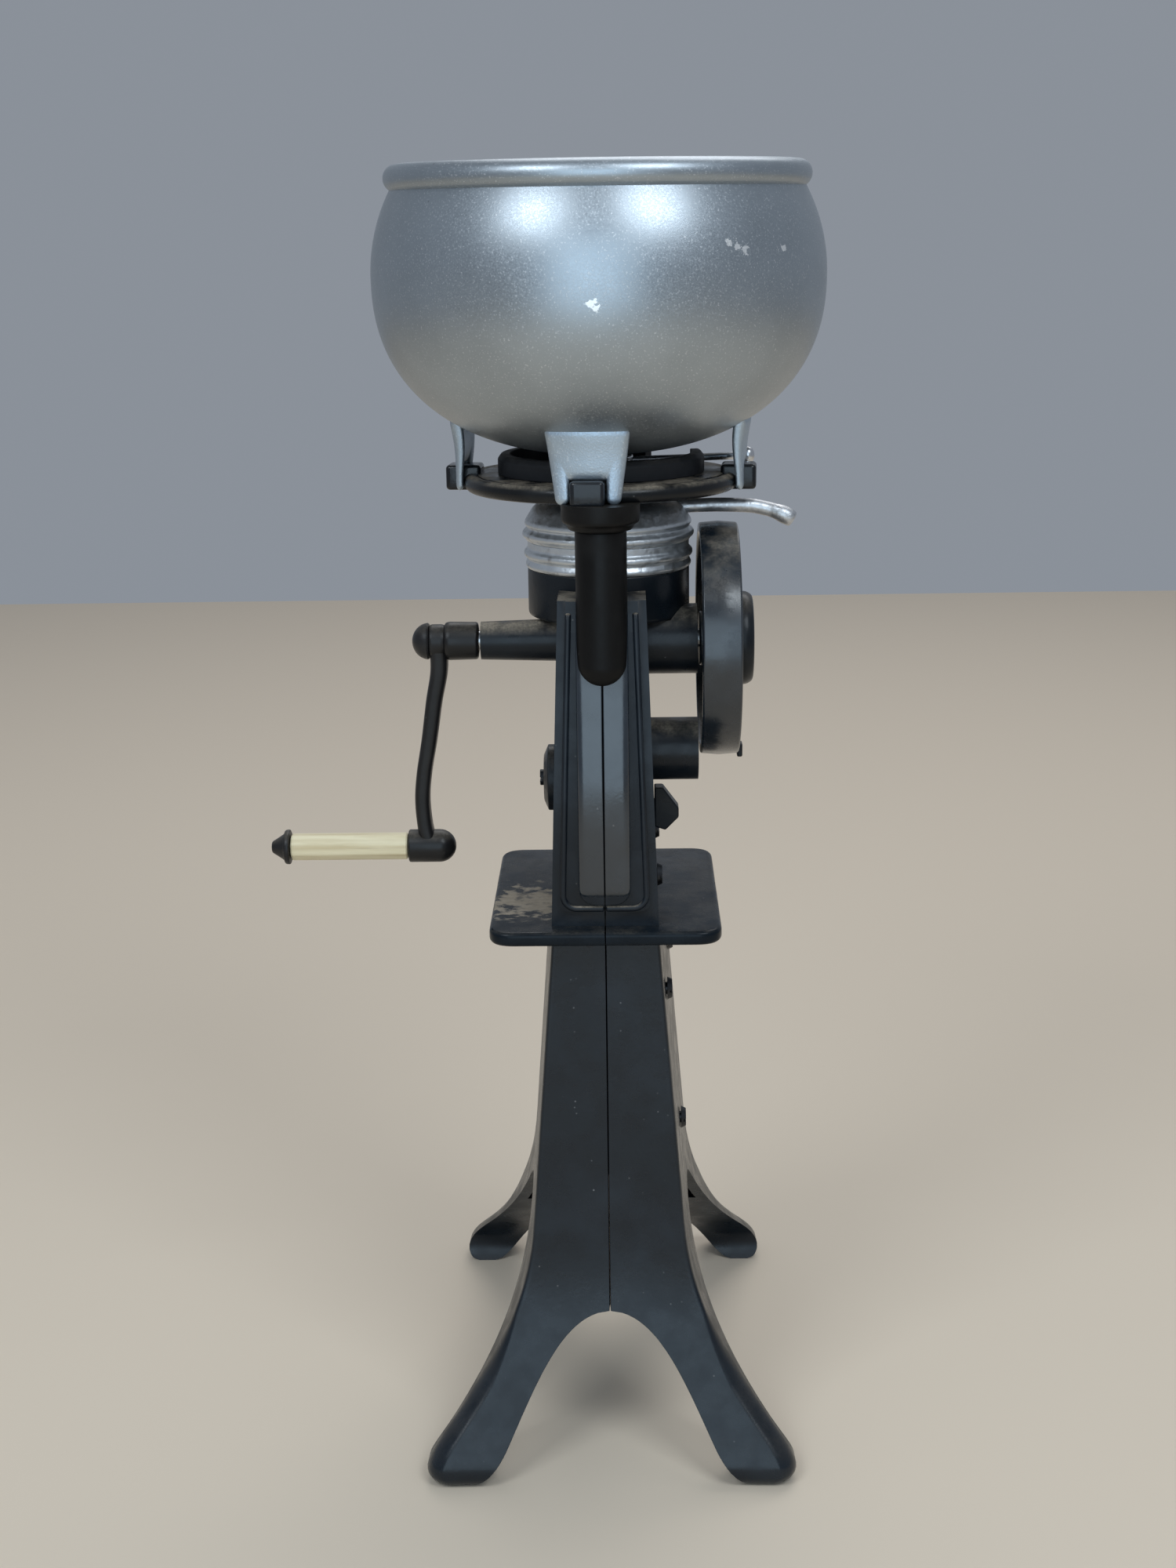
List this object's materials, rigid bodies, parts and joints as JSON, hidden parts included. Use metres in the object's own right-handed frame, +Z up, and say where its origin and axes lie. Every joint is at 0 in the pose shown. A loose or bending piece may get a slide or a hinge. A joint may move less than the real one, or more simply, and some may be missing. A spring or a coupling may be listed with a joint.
{
  "type": "cream separator",
  "caption": "Hand-crank cream separator: a supply can on a bracket over a covered bowl, a geared housing with crank and belt pulley, on a four-legged pedestal.",
  "frame": {"origin": "on the ground, in the middle of the four feet, 1 mm to the left of the bowl spindle's axis", "axes": "+Z up, +X towards the belt pulley, -X towards the crank, -Y towards the front where the can's post stands"},
  "size_m": [0.092, 0.0901, 0.2084],
  "materials": {
    "cast_black": "satin black stove enamel, dusty on top faces",
    "ring_charcoal": "matt charcoal enamel",
    "tinned_silver": "rough tinned metal",
    "can_silver": "satin silver with a fine flake",
    "bright_steel": "plain turned steel",
    "bowl_metal": "polished tinned steel",
    "bearing_bronze": "turned bronze",
    "grip_wood": "pale bare wood, hand rubbed"
  },
  "bodies": {
    "stand": {"pedestal_left": "cast_black", "pedestal_right": "cast_black", "housing_left": "cast_black", "housing_right": "cast_black", "housing_screws": "bright_steel", "pedestal_screws": "bright_steel", "inspection_cap": "cast_black", "drain_spout": "cast_black", "bowl_casing": "cast_black", "skim_cover": "tinned_silver", "skim_spout": "tinned_silver", "bracket_post": "cast_black", "crank_bushes": "bearing_bronze", "layshaft_bushes": "bearing_bronze", "footstep_bearing": "bearing_bronze", "neck_bearing": "bearing_bronze"},
    "crank": {"crank_shaft": "bright_steel", "crank_arm": "cast_black", "crank_nut": "cast_black", "grip_pin": "bright_steel", "grip_cap": "cast_black", "belt_pulley": "cast_black", "pulley_cap": "cast_black", "pulley_key": "cast_black", "crank_pinion": "bright_steel"},
    "grip": {"handle_grip": "grip_wood"},
    "layshaft": {"layshaft": "bright_steel", "large_gear": "bearing_bronze", "worm_wheel": "bearing_bronze"},
    "spindle": {"worm_spindle": "bright_steel", "separator_bowl": "bowl_metal", "bowl_hood": "bowl_metal", "disc_stack": "bright_steel", "bowl_nut": "bearing_bronze"},
    "cream_cover": {"cream_cover": "tinned_silver", "cream_spout": "tinned_silver"},
    "bracket": {"can_bracket": "cast_black", "seat_ring": "ring_charcoal"},
    "can": {"supply_can": "can_silver", "outlet_nut": "can_silver"},
    "lever": {"outlet_lever": "can_silver"}
  },
  "joints": [
    {"name": "crank_turn", "type": "hinge", "parent": "stand", "child": "crank", "pos_m": [0, -0.0045, 0.1333], "axis": [1, 0, 0], "continuous": true},
    {"name": "grip_spin", "type": "hinge", "parent": "crank", "child": "grip", "pos_m": [-0.0425, -0.0045, 0.0985], "axis": [1, 0, 0], "continuous": true},
    {"name": "layshaft_turn", "type": "hinge", "parent": "stand", "child": "layshaft", "pos_m": [0, -0.008, 0.11573], "axis": [1, 0, 0], "continuous": true},
    {"name": "spindle_turn", "type": "hinge", "parent": "stand", "child": "spindle", "pos_m": [0.001, 0, 0.11573], "axis": [0, 0, 1], "continuous": true},
    {"name": "cream_cover_turn", "type": "hinge", "parent": "stand", "child": "cream_cover", "pos_m": [0.001, 0, 0.1492], "axis": [0, 0, 1], "range_deg": [-45, 60]},
    {"name": "bracket_swing", "type": "hinge", "parent": "stand", "child": "bracket", "pos_m": [0, -0.021, 0.1536], "axis": [0, 0, 1], "range_deg": [-100, 0]},
    {"name": "can_lift", "type": "slide", "parent": "bracket", "child": "can", "axis": [0, 0, 1], "range_m": [0, 0.02]},
    {"name": "outlet_turn", "type": "hinge", "parent": "can", "child": "lever", "pos_m": [0, 0, 0.1617], "axis": [0, 0, 1], "range_deg": [0, 40]}
  ],
  "couplings": [
    {"joint": "layshaft_turn", "follows": "crank_turn", "ratio": -0.18519},
    {"joint": "spindle_turn", "follows": "crank_turn", "ratio": 3.3333}
  ]
}
